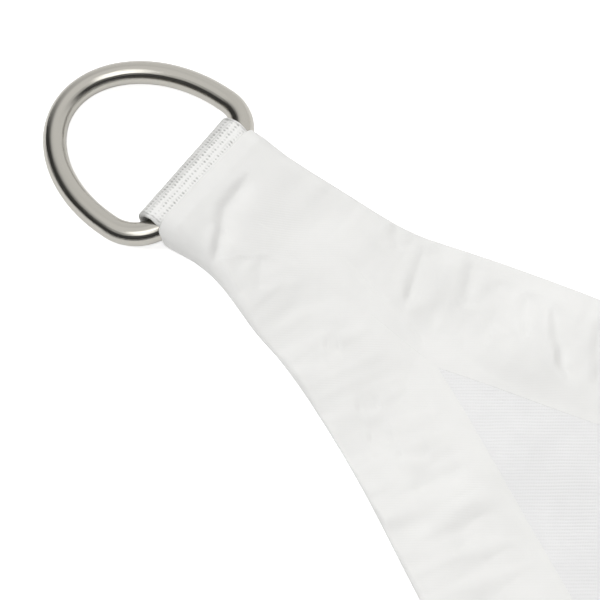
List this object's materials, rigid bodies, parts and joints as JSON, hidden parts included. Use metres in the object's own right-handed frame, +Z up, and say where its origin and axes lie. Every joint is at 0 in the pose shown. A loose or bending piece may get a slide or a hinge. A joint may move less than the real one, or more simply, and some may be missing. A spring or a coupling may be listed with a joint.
{
  "type": "shade sail",
  "caption": "Triangular shade sail of white woven cloth with concave hemmed edges, corner sleeves, webbing loops and polished steel D-rings, lying loose on the ground.",
  "frame": {"origin": "on the ground, under the middle of the whole sail's box", "axes": "+Z up; one edge of the sail runs along +X on the +Y side, with a corner at each end of it, and the third corner points along -Y"},
  "size_m": [3.0534, 2.656, 0.017],
  "materials": {
    "cloth": "white close-woven polyester, matte on the turned hems and slightly shiny and ribbed on the panel",
    "webbing": "white herringbone-woven polyester webbing",
    "steel": "polished stainless round wire"
  },
  "bodies": {
    "root": {"sail_cloth": "cloth", "webbing_a": "webbing", "webbing_b": "webbing", "webbing_c": "webbing", "d_ring_a": "steel", "d_ring_b": "steel", "d_ring_c": "steel"}
  },
  "joints": []
}
